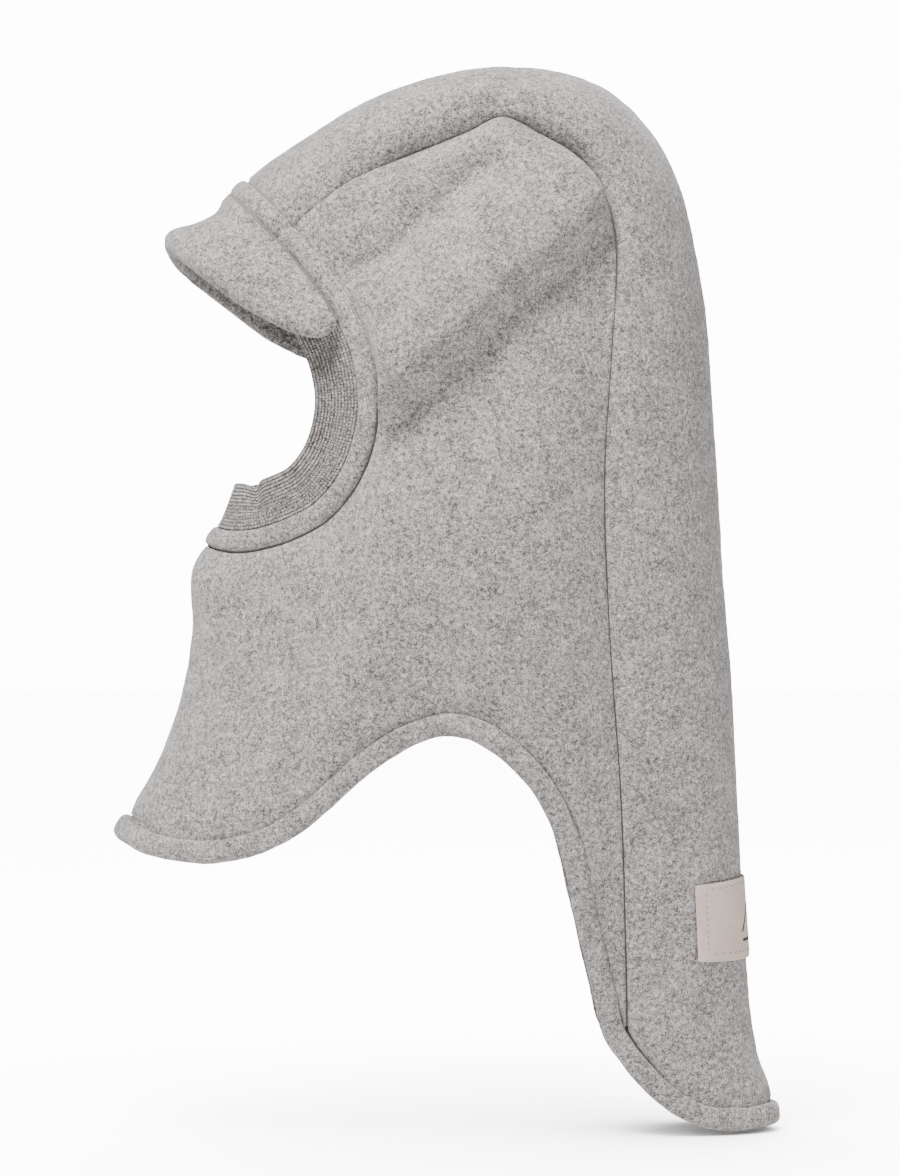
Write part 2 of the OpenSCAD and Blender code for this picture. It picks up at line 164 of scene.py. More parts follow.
def side_surface(u, v):
    """Left side panel: u from the face to the hem, v from the front fold to the crown seam."""
    front = coons(lambda t: at(FACE, t * cheek_at), lambda t: at(HEM, t * arch_at),
                  lambda t: at(FRONT, t), lambda t: at(CHEEK, t),
                  u, np.clip(v / FRONT_SHARE, 0, 1))
    back = coons(lambda t: at(FACE, mix(cheek_at, 1, t)), lambda t: at(HEM, mix(arch_at, 1, t)),
                 lambda t: at(CHEEK, t), lambda t: at(CROWN, t),
                 u, np.clip((v - FRONT_SHARE) / (1 - FRONT_SHARE), 0, 1))
    p = np.where((v < FRONT_SHARE)[..., None], front, back)
    p[..., 1] = -(p[..., 1] + SIDE_BULGE * np.sin(np.pi * u) * np.sin(np.pi * v))
    return p


def gusset_sag(s, f):
    """How far the tail's rounded end hangs below its straight edge."""
    return TAIL_SAG * np.sin(np.pi * f * f) * ease((s - SAG_FROM) / (1 - SAG_FROM))


def gusset_surface(s, f):
    """Gusset: s from the forehead to the tail's end, f from -1 to 1 across it."""
    middle, seam = at(BACK, s), at(CROWN, s)
    angle = f * np.pi / 2
    p = mix(middle, seam, (1 - np.cos(angle))[..., None])
    p[..., 1] = seam[..., 1] * np.sin(angle)
    p[..., 2] -= gusset_sag(s, f)
    return p


# %% Grid helpers
def spread(surface, rows, columns, low=(0, 0), high=(1, 1)):
    """The points of a surface at an even grid of its two parameters."""
    a, b = np.meshgrid(np.linspace(low[0], high[0], rows + 1),
                       np.linspace(low[1], high[1], columns + 1), indexing="ij")
    return surface(a, b)


def grid_normals(g, fold=False, loop=False):
    """Outward normals of a grid. fold: its first column lies on the hood's middle plane."""
    along, across = np.gradient(g, axis=0), np.gradient(g, axis=1)
    if fold:
        across[:, 0] = (0, -1, 0)
    if loop:
        along = (np.roll(g[:-1], -1, axis=0) - np.roll(g[:-1], 1, axis=0))
        along = np.concatenate([along, along[:1]])
    return unit(np.cross(along, across))


def reach(g, axis):
    """Distance along the cloth from a grid's first edge, in millimetres."""
    step = np.linalg.norm(np.diff(g, axis=axis), axis=-1)
    return np.concatenate([np.zeros_like(np.take(step, [0], axis)), np.cumsum(step, axis)], axis)


def ripple(g, size, seed=0.0):
    """Smooth noise from -1 to 1 over a grid, with bumps of about the given size."""
    flat = g.reshape(-1, 3) / size + seed
    return np.array([noise.noise(Vector(p)) for p in flat]).reshape(g.shape[:-1])


print("gusset width over the crown:", round(float(2 * at(CROWN, [0.3])[0, 1])), "mm")

# %% [markdown]
# ## From a grid to cloth
# A panel starts as a flat grid, like cloth on a cutting table. Every vertex is then carried to
# its place on the surface, and the flat position is kept as a UV map, in metres of real cloth,
# so that a knit can follow it. Solidify gives the cloth its thickness with a closed rim.

# %% Cloth maker
SHARP = math.radians(65)     # a cut edge turns by more than this, and stays crisp


def cloth(name, g, thickness, loop=False, uv=None):
    """A mesh object from a grid of points in millimetres, given a thickness inwards."""
    rows, columns = g.shape[0] - 1, g.shape[1] - 1
    bm = bmesh.new()
    bmesh.ops.create_grid(bm, x_segments=rows, y_segments=columns, size=0.5)
    layer = bm.loops.layers.uv.new("cloth")
    flat = (reach(g, 0), reach(g, 1)) if uv is None else uv
    spots = {}
    for vert in bm.verts:
        i, j = round((vert.co.x + 0.5) * rows), round((vert.co.y + 0.5) * columns)
        spots[vert] = (i, j)
    for face in bm.faces:
        for corner in face.loops:
            i, j = spots[corner.vert]
            corner[layer].uv = (flat[0][i, j] * MM, flat[1][i, j] * MM)
    for vert, (i, j) in spots.items():
        vert.co = Vector(g[i, j]) * MM
    if loop:
        bmesh.ops.remove_doubles(bm, verts=bm.verts, dist=1e-6)
    if thickness:
        bmesh.ops.solidify(bm, geom=bm.faces, thickness=thickness * MM)
    bmesh.ops.recalc_face_normals(bm, faces=bm.faces)
    for edge in bm.edges:
        edge.smooth = edge.calc_face_angle(0) < SHARP
    return finish_mesh(name, bm)


def finish_mesh(name, bm):
    """Turns a bmesh into a smooth-shaded object in the scene."""
    mesh = bpy.data.meshes.new(name)
    bm.to_mesh(mesh)
    bm.free()
    mesh.polygons.foreach_set("use_smooth", [True] * len(mesh.polygons))
    obj = bpy.data.objects.new(name, mesh)
    bpy.context.collection.objects.link(obj)
    print(name, "faces:", len(mesh.polygons))
    return obj


def turn_over(obj):
    """Turns a left-hand piece into a right-hand one."""
    bm = bmesh.new()
    bm.from_mesh(obj.data)
    bmesh.ops.scale(bm, vec=(1, -1, 1), verts=bm.verts)
    bmesh.ops.reverse_faces(bm, faces=bm.faces)
    bm.to_mesh(obj.data)
    bm.free()


def mirrored(obj, name):
    """The right-hand twin of a left-hand piece."""
    bm = bmesh.new()
    bm.from_mesh(obj.data)
    twin = finish_mesh(name, bm)
    turn_over(twin)
    return twin


# %% [markdown]
# ## Rolls, folds and a pinch
# Fleece is thick, so at a seam it rolls down into a soft groove. Away from the seams the panel
# isn't flat either: the cloth over the temple stands fuller than the cheek, which leaves a
# slanting fold between them, and the crown seam is pulled up into a small peak where its curve
# is tightest. A cloth simulation would need the head that fills the hood, which isn't part of
# it, so these shapes are added to the grids as a few named rules.

# %% Seam rolls
FLEECE = 2.8             # thickness of the outer cloth
ROLL_WIDE, ROLL_WIDE_DROP, ROLL_WIDE_CURVE = 9.0, 1.2, 2.2
ROLL_TIGHT, ROLL_TIGHT_DROP = 1.7, 1.5
STEEPEST = 0.995         # the tight roll stops just before it stands upright


def roll(distance):
    """How far cloth sinks towards a seam, at a distance from it in millimetres."""
    wide = np.clip(1 - distance / ROLL_WIDE, 0, 1)
    tight = np.clip(1 - distance / ROLL_TIGHT, 0, 1)
    return (ROLL_WIDE_DROP * wide ** ROLL_WIDE_CURVE
            + ROLL_TIGHT_DROP * (1 - np.sqrt(1 - np.minimum(tight, STEEPEST) ** 2)))


# %% Crown valley and nap
CROWN_GROOVE, GROOVE_WIDE, GROOVE_CURVE = 7.0, 15.0, 1.6    # a valley over the crown's seam
BACK_FLATTER = 0.7       # the seam's rolls lose this share down the back
LUMP_HEIGHT, LUMP_SIZE = 0.22, 7.0
CURL_HEIGHT, CURL_SIZE = 0.11, 2.4


def flatter_down_the_back(s):
    """How strong the rolls at the crown seam are, by share of its length."""
    return 1 - BACK_FLATTER * ease((s - 0.3) / 0.12)


def crown_groove(s, to_seam):
    """Depth of the valley, by share of the seam's length and distance from the seam."""
    part = ease((s - 0.04) / 0.08) * ease((0.36 - s) / 0.12)
    return CROWN_GROOVE * part * np.clip(1 - to_seam / GROOVE_WIDE, 0, 1) ** GROOVE_CURVE


def nap(g, seed):
    """The uneven surface of fleece: soft lumps and a finer curl."""
    return (LUMP_HEIGHT * ripple(g, LUMP_SIZE, seed)
            + CURL_HEIGHT * ripple(g, CURL_SIZE, seed + 3))


print("a seam's edge sinks by", round(float(roll(0.0)), 1), "mm, and at the crown by",
      round(float(roll(0.0) + CROWN_GROOVE), 1), "mm")


# %% Folds
TEMPLE_FOLD = (-44, -48), (50, 34)      # foot of the main fold, as [x, z] from face to crown
TEMPLE_FULL, FOLD_DIP = 10.0, 2.6
BROW_DENT = (-60, 6), (4, 60)
DENT_DEPTH, DENT_WIDE = 4.4, 7.5
FOLD_WAVER, DENT_WAVER = (4.5, 32.0), (3, 20.0)     # how far a line strays, and over what length


def beside(g, line):
    """Share along a line [x, z] and distance from it, positive to its lower right."""
    start, end = np.array(line[0], float), np.array(line[1], float)
    length = np.linalg.norm(end - start)
    way = (end - start) / length
    off = g[..., [0, 2]] - start
    return off @ way / length, off @ np.array([way[1], -way[0]])


def folds(g):
    """Fullness over the temple, the slanting fold under it, and a dent behind the brow."""
    share, d = beside(g, TEMPLE_FOLD)
    d = d + FOLD_WAVER[0] * ripple(g, FOLD_WAVER[1], 5.0)
    kept = ease((share + 0.2) / 0.25) * ease((1.2 - share) / 0.25)
    full = TEMPLE_FULL * (1 - ease((d + 13) / 18)) * np.exp(-(np.maximum(0, -d - 16) / 22) ** 2)
    dip = FOLD_DIP * np.exp(-((d - 6) / np.where(d < 6, 9, 36)) ** 2)
    share, d = beside(g, BROW_DENT)
    d = d + DENT_WAVER[0] * ripple(g, DENT_WAVER[1], 2.0)
    ends = ease((share + 0.1) / 0.2) * ease((1.1 - share) / 0.3)
    dent = DENT_DEPTH * np.exp(-(d / DENT_WIDE) ** 2) * ends
    return (full - dip) * kept - dent


# %% Pinch of the crown seam
PINCH, PINCH_X, PINCH_Z = 3.8, 1, 71        # its height, and where its peak is
PINCH_LONG, PINCH_HIGH = 11, 9


def pinch(g):
    """Pulls the cloth up into a small peak at the top of the crown seam."""
    near_x = np.exp(-((g[..., 0] - PINCH_X) / PINCH_LONG) ** 2)
    near_z = np.exp(-((g[..., 2] - PINCH_Z) / PINCH_HIGH) ** 2)
    lifted = g.copy()
    lifted[..., 2] += PINCH * near_x * near_z * ease((np.abs(g[..., 1]) - 22) / 14)
    return lifted


# %% Side panels
FACE_ROLL, HEM_ROLL, FRONT_ROLL = 0.5, 1.8, 0.5      # strength of the roll at each seam
LEFT_FOLDS, RIGHT_FOLDS = (0.0, 1.0), (4.0, 0.6)     # seed, and share of the left side's folds


def side_relief(g, seed, fold_share):
    """How far a side panel's cloth lies under its plain surface, for its rolls and folds."""
    down, over = reach(g, 0), reach(g, 1)
    to_hem, to_crown = down[-1:] - down, over[:, -1:] - over
    s = np.linspace(0, 1, g.shape[0])[:, None]
    sink = (FACE_ROLL * roll(down) + HEM_ROLL * roll(to_hem) + FRONT_ROLL * roll(over)
            + roll(to_crown) * flatter_down_the_back(s) + crown_groove(s, to_crown))
    edge = np.minimum.reduce([down, to_hem, to_crown, over])
    wide_folds, small_folds = ripple(g, 60.0, seed), ripple(g, 25.0, seed + 7)
    soft_folds = 0.9 * wide_folds + 0.5 * small_folds
    return sink - soft_folds * ease(edge / 25) - fold_share * folds(g) * ease(edge / 5)


def side_grid(seed, fold_share):
    """Grid of a left-hand side panel's fleece."""
    g = pinch(spread(side_surface, 220, 190, (0.001, 0.0), (0.999, 0.9996)))
    under = side_relief(g, seed, fold_share) - nap(g, seed)
    g = g - grid_normals(g, fold=True) * under[..., None]
    g[..., 1] = np.minimum(g[..., 1], -0.15)
    return g


side_left = cloth("side_panel_left", side_grid(*LEFT_FOLDS), FLEECE)
side_right = cloth("side_panel_right", side_grid(*RIGHT_FOLDS), FLEECE)
turn_over(side_right)

# %% Gusset
CROWN_CREASE = (-6, 76), (9, 94)        # a short crease over the seam's peak
CREASE_DEPTH, CREASE_WIDE = 2.4, 3.5
BROW_ROLL = 0.7


def gusset_relief(g):
    """How far the gusset's cloth lies under its plain surface."""
    down, over = reach(g, 0), reach(g, 1)
    to_seam = np.minimum(over, over[:, -1:] - over)
    s = np.linspace(0, 1, g.shape[0])[:, None]
    share, d = beside(g, CROWN_CREASE)
    ends = ease((share + 0.3) / 0.4) * ease((1.15 - share) / 0.5)
    crease = CREASE_DEPTH * np.exp(-(d / CREASE_WIDE) ** 2) * ends
    seams = crown_groove(s, to_seam) + roll(to_seam) * flatter_down_the_back(s)
    cuts = BROW_ROLL * roll(down) + HEM_ROLL * roll(down[-1:] - down)
    return cuts + seams + crease - 0.5 * ripple(g, 40.0, 3.0)


gusset = pinch(spread(gusset_surface, 420, 90, (0.0005, -0.996), (0.9995, 0.996)))
gusset = gusset - grid_normals(gusset) * (gusset_relief(gusset) - nap(gusset, 2.0))[..., None]
centre = cloth("centre_panel", gusset, FLEECE)

# %% [markdown]
# ## Bands round an opening
# The face binding, the knitted cuff and the hem are long strips that close on themselves. In
# the editor one would bend a curve and give it a bevel. Here a grid is rolled up instead: its
# rows follow the loop and its columns follow the strip's section, and the two ends are welded.
# That keeps a UV map that runs along the strip, which the knit needs.

# %% Loops
def closed(half, others, count):
    """Even points round a loop whose right half is given, with other values carried along."""
    def ring(values):
        full = np.concatenate([values, (values * (1, -1, 1))[-2:0:-1]])
        return np.concatenate([full[-3:], full, full[:4]])
    path = track(ring(half))
    k = path["knots"]
    carried = [{"points": ring(o), "knots": k, "slopes": np.gradient(ring(o), k, axis=0)}
               for o in others]
    t = np.linspace(k[3], k[-4], count + 1)
    return at(path, t), [at(c, t) for c in carried]


def inward(half):
    """Directions in the side view that point out of the cloth, square to its edge."""
    d = np.gradient(half, axis=0)
    return unit(np.stack([d[:, 2], np.zeros(len(d)), -d[:, 0]], axis=1))


# %% Edges of the openings
BINDING_W, BINDING_T, BINDING_PROUD = 9.0, 5.4, 1.0
RIB_W, RIB_T = 20.0, 2.6
HEM_W, HEM_T, HEM_PROUD, HEM_GAP = 10.5, 5.6, 1.1, 0.8
BROW_STEPS, FACE_STEPS, HEM_STEPS, END_STEPS = 5, 22, 24, 6
HALF_HEAD = 54.0
CUFF_DEPTH_AT_BROW = 4.9     # the cuff starts this far under the brim's root

brow_edge = gusset_surface(np.zeros(BROW_STEPS), np.arange(BROW_STEPS) / BROW_STEPS)
face_half = np.concatenate([brow_edge, at(FACE, np.linspace(1, 0, FACE_STEPS + 1))])
lean = np.outer(face_half[:, 1] / HALF_HEAD, (0, 1, 0))
bind_dirs = unit(inward(face_half) - 0.2 * lean)
inner_half = face_half + bind_dirs * BINDING_W
brow = ease((inner_half[:, 2] + 12) / 45)[:, None]
rib_dirs = unit(mix(inward(face_half) - 0.5 * lean, np.array([0.1, 0, -1]) - 0.2 * lean, brow))
rib_sink = mix(BINDING_T / 2 - BINDING_PROUD, CUFF_DEPTH_AT_BROW, brow)
tail_edge = gusset_surface(np.ones(END_STEPS), np.arange(END_STEPS)[::-1] / END_STEPS)
hem_half = np.concatenate([at(HEM, np.linspace(0, 1, HEM_STEPS + 1)), tail_edge])
hem_dirs = inward(hem_half)
print("brow height of the cuff's root:", round(float(inner_half[0, 2])), "mm")


# %% Sweeping a section round a loop
def sweep(path, dirs, section):
    """Grid of a section (across, up) carried round a loop; section may change along it."""
    along = np.gradient(path, axis=0)
    along[0] = along[-1] = path[1] - path[-2]
    d = unit(dirs)
    up = unit(np.cross(along, d))
    return (path[:, None] + d[:, None] * section[..., :1] + up[:, None] * section[..., 1:])


def soft(x, power):
    """A signed power, which squares off a rounded section when it is below 1."""
    return np.sign(x) * np.abs(x) ** power


def rolled_section(count, width, thick, start, deep, lumps, sides=28):
    """Plump rounded section for each point of lumps, which vary its size a little; count is not used."""
    a = -np.linspace(0, 2 * np.pi, sides + 1)
    across = soft(np.cos(a), 0.8) * width / 2
    up = soft(np.sin(a), 0.75) * thick / 2
    size = 1 + lumps[:, None]
    return np.stack([start + width / 2 + across * size, up * size - deep], axis=-1)


def along_loop(path, size, seed):
    """Smooth noise from -1 to 1 along a loop."""
    return ripple(path[:, None], size, seed)[:, 0]


def felted(grid, seed):
    """A rolled band's grid with the nap of fleece on it."""
    outward = unit(grid - grid.mean(axis=1, keepdims=True))
    return grid + nap(grid, seed)[..., None] * outward


# %% Face binding
SEAM_GAP = 0.5
BINDING_STEPS = 560
JOINT_AT = face_half[BROW_STEPS]                # the binding's own joint, at the crown seam
JOINT_NIP, JOINT_WIDE = 0.2, 1.1                # its section shrinks by this share there
path, (dirs,) = closed(face_half, [bind_dirs], BINDING_STEPS)
from_joint = np.linalg.norm((path * (1, 0, 1) + np.abs(path) * (0, 1, 0)) - JOINT_AT, axis=1)
lumps = (0.05 * along_loop(path, 9.0, 2.0) + 0.04 * along_loop(path, 22.0, 5.0)
         - JOINT_NIP * np.exp(-(from_joint / JOINT_WIDE) ** 2))
section = rolled_section(BINDING_STEPS + 1, BINDING_W - SEAM_GAP, BINDING_T, SEAM_GAP / 2,
                         BINDING_T / 2 - BINDING_PROUD, lumps, 36)
binding = cloth("face_binding", felted(sweep(path, dirs, section), 9.0), 0, loop=True)

# %% Hem band
HEM_RINGS = 680
path, (dirs,) = closed(hem_half, [hem_dirs], HEM_RINGS)
lumps = 0.05 * along_loop(path, 10.0, 1.0) + 0.05 * along_loop(path, 30.0, 6.0)
section = rolled_section(HEM_RINGS + 1, HEM_W - HEM_GAP - SEAM_GAP / 2, HEM_T, HEM_GAP,
                         HEM_T / 2 - HEM_PROUD, lumps, 32)
hem = cloth("hem_band", felted(sweep(path, dirs, section), 4.0), 0, loop=True)

# %% [markdown]
# ## The knitted cuff
# The cuff is a strip of fine rib knit, folded double and sewn in behind the binding. Its rows
# run parallel to the edge. The rows are real ridges in the mesh, so that they show on the
# outline and in a plain export, and the single stitches, under a millimetre long, are left to
# the material. A small pucker at the chin breaks the evenness.

# %% Rib cuff
RIB_ROWS = 12
RIDGE = 0.32
RIB_RINGS = 300
FACE_SAMPLES, EDGE_SAMPLES, BACK_SAMPLES = 105, 8, 24
path, (dirs, sink) = closed(inner_half, [rib_dirs, rib_sink * (1, 0, 0)], RIB_RINGS)
sink = np.abs(sink[:, :1])
q = np.linspace(0, 1, FACE_SAMPLES)
ridges = RIDGE * np.abs(np.sin(np.pi * RIB_ROWS * q)) ** 0.7
turn = np.linspace(np.pi / 2, -np.pi / 2, EDGE_SAMPLES + 2)[1:-1]
half_t = RIB_T / 2 - RIDGE
across = np.concatenate([q * (RIB_W - half_t), RIB_W - half_t + half_t * np.cos(turn),
                         np.linspace(RIB_W - half_t, -1.0, BACK_SAMPLES), [0.0]])
up = np.concatenate([half_t + ridges, half_t * np.sin(turn),
                     np.full(BACK_SAMPLES, -half_t), [half_t]])
wave = 0.7 * along_loop(path, 14.0, 3.0)[:, None] + 0.5 * along_loop(path, 6.0, 8.0)[:, None]
free = ease(across / RIB_W)[None]
PUCKER_AT, PUCKER_DEPTH = np.array([-100.0, -24.0, -95.0]), 3.6
near_pucker = np.linalg.norm((path - PUCKER_AT) * (1, 0.4, 0.5), axis=1)[:, None]
pucker = np.exp(-(near_pucker / 4.0) ** 2) * PUCKER_DEPTH
section = np.stack([across[None] - free * (0.5 * pucker + 0.35 * wave),
                    up[None] - sink + free * (wave - pucker)], axis=-1)
grid = sweep(path, dirs, section)
length = reach(path[:, None].repeat(len(across), axis=1), 0)
rib = cloth("rib_cuff", grid, 0, loop=True,
            uv=(length, np.broadcast_to(reach(grid, 1)[:1], length.shape)))

# %% [markdown]
# ## The brim
# The brim is two cloths sewn together round a stiff felt and turned right side out, so it is
# plump with a rounded lip. Its section runs from the seam over the top, round the lip and back
# underneath. One grid with that section is cut along the lip's lower side into a top and an
# underside, which therefore meet exactly, as they do when they are sewn.

# %% Brim shape
BRIM_REACH, BRIM_TAPER = 34.0, 2.2
BRIM_PROUD, TEMPLE_RISE = 2.0, 3.0
BRIM_ROOT_T, BRIM_LIP_T = 4.0, 6.2
BRIM_SLOPE, TEMPLE_SLOPE = np.array([-0.77, 0, -0.63]), np.array([-0.5, 0.15, -0.86])
FAR_DROOP = 3.6          # the brim's right half hangs lower at its lip, as a worn one does
BRIM_PLUMP, BRIM_DIMPLE = 2.2, 1.1      # it swells on the whole, but less near the seam
BRIM_HOLLOW = 6.0        # its middle dips between the seam and the lip
ROOT_ROLL = 1.4          # and its top rolls down into the seam
BRIM_LAST = BROW_STEPS + 5
left_root = (inner_half * (1, -1, 1))[BRIM_LAST:0:-1]
ROOT = track(np.concatenate([left_root, inner_half[:BRIM_LAST + 1]]))


def brim_frame(a):
    """Root point, outward direction and up direction at a, from -1 to 1 across the brim."""
    t = (a + 1) / 2
    root = at(ROOT, t)
    tangent = unit(at(ROOT, np.clip(t + 0.01, 0, 1)) - at(ROOT, np.clip(t - 0.01, 0, 1)))
    out = mix(BRIM_SLOPE, TEMPLE_SLOPE, (a * a)[..., None])
    out[..., 1] *= np.sign(a)
    out = unit(out)
    return root, out, unit(np.cross(tangent, out))


def brim_surface(a, w):
    """Points round the brim's section: w from 0 at the seam's top to 1 at its underside."""
    root, out, up = brim_frame(a)
    reach_a = np.maximum(3.0, BRIM_REACH * np.sqrt(np.clip(1 - np.abs(a) ** BRIM_TAPER, 0, 1)))
    lip = np.minimum(BRIM_LIP_T, reach_a * 0.9) / 2
    top, edge = 0.42, 0.58
    flat = reach_a - lip
    on_top, below = np.clip(w / top, 0, 1), np.clip((w - edge) / (1 - edge), 0, 1)
    angle = np.pi / 2 - np.pi * np.clip((w - top) / (edge - top), 0, 1)
    r = np.where(w > edge, flat * (1 - below), flat + lip * np.cos(angle))
    r = np.where(w < top, flat * on_top, r)
    root_t = BRIM_ROOT_T / 2
    half_t = mix(np.minimum(root_t, lip), lip, ease(r / np.maximum(flat, 1) * 1.6))
    h = np.where(w < top, half_t, np.where(w > edge, -half_t, lip * np.sin(angle)))
    h = h - np.where(w < top, ROOT_ROLL * np.exp(-(r / 2.6) ** 2), 0)
    share = np.clip(r / reach_a, 0, 1)
    plump = BRIM_PLUMP * np.sin(np.pi * share ** 1.4)
    dimple = BRIM_DIMPLE * np.exp(-((share - 0.22) / 0.13) ** 2)
    crown = (plump - dimple) * (1 - a * a)
    hollow = (BRIM_HOLLOW * np.exp(-(a / 0.42) ** 2)
              * np.sin(np.pi * np.clip(share / 0.86, 0, 1)) ** 1.4)
    middle = BRIM_PROUD - BRIM_ROOT_T / 2 + TEMPLE_RISE * a * a + crown - hollow
    p = root + out * (SEAM_GAP + r)[..., None] + up * (h + middle)[..., None]
    p[..., 2] -= FAR_DROOP * share ** 1.5 * ease((p[..., 1] + 8) / 30)
    return p


# %% Brim pieces
def brim_grid(low, high, columns, rows=230):
    """Part of the brim's section over its whole breadth, with rows closer at the temples."""
    return spread(lambda t, w: brim_surface(np.sin(t * np.pi / 2), w), rows, columns,
                  (-1, low), (1, high))


LIP_SEAM, LIP_GAP = 0.535, 0.003
BRIM_CLOTH, STIFFENER = 1.4, 0.8
brim_top_grid = brim_grid(0, LIP_SEAM - LIP_GAP, 90)
brim_low_grid = brim_grid(LIP_SEAM + LIP_GAP, 1, 70)
for g, seed in ((brim_top_grid, 1.0), (brim_low_grid, 2.0)):
    g += grid_normals(g) * (0.5 * ripple(g, 22.0, seed) + nap(g, seed))[..., None]
brim_top = cloth("brim_top", brim_top_grid, BRIM_CLOTH)
brim_low = cloth("brim_underside", brim_low_grid, BRIM_CLOTH)


def stiffener_surface(t, s):
    """The felt lies half way between the brim's two cloths."""
    a = np.sin(t * np.pi / 2)
    upper, lower = brim_surface(a, 0.42 * s), brim_surface(a, 1 - 0.42 * s)
    return mix(upper, lower, 0.5) + 0.4 * unit(upper - lower)


felt_grid = spread(stiffener_surface, 60, 20, (-0.75, 0.12), (0.75, 0.9))
stiffener = cloth("brim_stiffener", felt_grid, STIFFENER)
print("brim lip:", BRIM_LIP_T, "mm thick")

# %% [markdown]
# ## Linings
# Inside, the hood is lined with soft jersey cut to nearly the same pattern. One could copy the
# outer panels and shrink them, but a lining is smoother than its fleece. So it is laid again
# from the same seams, one cloth's thickness further in, and follows only the outer cloth's dips.

# %% Linings
LINING, LINING_DEPTH = 1.2, 3.3
MIDDLE_GAP = 0.4         # the two sides' linings stop this far short of the middle


def beneath(g, relief, fold=False):
    """The lining's grid: it lies under the fleece and goes down with it, but not up."""
    return g - grid_normals(g, fold=fold) * (LINING_DEPTH + np.maximum(0, relief))[..., None]


def lining_grid(seed, fold_share):
    """Grid of a left-hand side lining under the fleece with the same folds."""
    g = pinch(spread(side_surface, 100, 90))
    g = beneath(g, side_relief(g, seed, fold_share), fold=True)
    g[..., 1] = np.minimum(g[..., 1], -MIDDLE_GAP)
    return g


lining_left = cloth("side_lining_left", lining_grid(*LEFT_FOLDS), LINING)
lining_right = cloth("side_lining_right", lining_grid(*RIGHT_FOLDS), LINING)
turn_over(lining_right)
lining_mid = pinch(spread(gusset_surface, 160, 48, (0.0, -1.0), (1.0, 1.0)))
lining_centre = cloth("centre_lining", beneath(lining_mid, gusset_relief(lining_mid)), LINING)

# %% [markdown]
# ## Seams
# A seam on fleece is hardly seen: the cloth rolls down into a thin dark line, and the thread
# lies at its bottom. Each thread is a fine tube that swells and narrows once per stitch, sunk
# under the surface where the two cloths meet. Its grey is kept dark, so it also paints shade
# into that line.

# %% Seam threads
THREAD_R, STITCH = 1.25, 2.6


def thread(name, path, up, deep, ring=False):
    """A stitched line along a path, with its top sunk by deep under the directions up."""
    length = np.concatenate([[0], np.cumsum(np.linalg.norm(np.diff(path, axis=0), axis=1))])
    steps = int(length[-1] / STITCH * 6)
    even = np.linspace(0, length[-1], steps + 1)
    below = THREAD_R + np.interp(even, length, np.broadcast_to(deep, length.shape))[:, None, None]
    p = np.stack([np.interp(even, length, path[:, i]) for i in range(3)], axis=1)
    n = unit(np.stack([np.interp(even, length, up[:, i]) for i in range(3)], axis=1))
    along = unit(np.gradient(p, axis=0))
    cross = unit(np.cross(along, n))
    turns = even / length[-1] * round(length[-1] / STITCH)
    r = THREAD_R * (0.85 + 0.15 * np.abs(np.sin(np.pi * turns)))
    a = np.linspace(0, -2 * np.pi, 9)
    grid = (p[:, None] - n[:, None] * below + cross[:, None] * (np.cos(a)[:, None] * r[:, None, None])
            + n[:, None] * (np.sin(a)[:, None] * r[:, None, None]))
    if ring:
        grid[-1] = grid[0]
    obj = cloth(name, grid, 0, loop=True)
    if not ring:
        cap_ends(obj)
    return obj


def cap_ends(obj):
    """Closes the open ends of a tube."""
    bm = bmesh.new()
    bm.from_mesh(obj.data)
    bmesh.ops.holes_fill(bm, edges=[e for e in bm.edges if e.is_boundary], sides=0)
    bmesh.ops.recalc_face_normals(bm, faces=bm.faces)
    bm.to_mesh(obj.data)
    bm.free()


s = np.linspace(0.002, 0.998, 400)
crown_deep = 0.2 + roll(0.0) * flatter_down_the_back(s) + crown_groove(s, 0.0)
crown_path = pinch(at(CROWN, s))
crown_up = unit(np.cross(np.gradient(crown_path, axis=0),
                         gusset_surface(s, np.ones(400)) - gusset_surface(s, np.full(400, 0.96))))
crown_right = thread("crown_seam_right", crown_path, crown_up, crown_deep)
crown_left = mirrored(crown_right, "crown_seam_left")
front_path = at(FRONT, np.linspace(0.004, 0.996, 120))
front_up = unit(np.cross(np.gradient(front_path, axis=0), (0, -1, 0)))
front_seam = thread("front_seam", front_path, front_up, 1.7)


def loop_thread(name, half, dirs, deep, count=400):
    """A stitched line all the way round an opening."""
    path, (d,) = closed(half, [dirs], count)
    along = np.gradient(path, axis=0)
    along[0] = along[-1] = path[1] - path[-2]
    return thread(name, path, unit(np.cross(along, d)), deep, ring=True)


face_seam = loop_thread("face_seam", face_half, bind_dirs, 1.4)
hem_seam = loop_thread("hem_seam", hem_half, hem_dirs, 4.3)
rib_seam = loop_thread("rib_seam", inner_half, bind_dirs, 2.0)
t = np.linspace(-0.99, 0.99, 200)
brim_root, brim_out, brim_up = brim_frame(t)
brim_seam = thread("brim_seam", brim_root + brim_out * 0.2, brim_up, -0.6)

# %% [markdown]
# ## The patch
# A soft leather-like patch is sewn round the back of the tail with a running stitch. It is a
# rectangle bent on to the gusset, so its shape is worked out on the flat in millimetres and
# then carried over, and the stitches use the same rule to sit on it. Its mark is two plain
# peaks of the builder's own.

# %% Patch
PATCH_W, PATCH_H, PATCH_T, PATCH_UP = 62.0, 33.0, 1.2, 79.0
PATCH_LIFT = 0.3
SAG_KEPT = 0.85          # share of the gusset's own sag that the patch doesn't follow
GIRTH_SHARE = 1.12       # the back's curve, against half the gusset's width there
patch_at = 1 - PATCH_UP / BACK["length"]
patch_girth = at(CROWN, [patch_at])[0, 1] * GIRTH_SHARE
back_way = unit(at(BACK, [patch_at + 0.01]) - at(BACK, [patch_at - 0.01]))[0]
patch_slant = (at(BACK, [patch_at]) - at(CROWN, [patch_at]))[0] @ back_way
print("the gusset's rows slant by", round(float(patch_slant)), "mm, the patch doesn't")


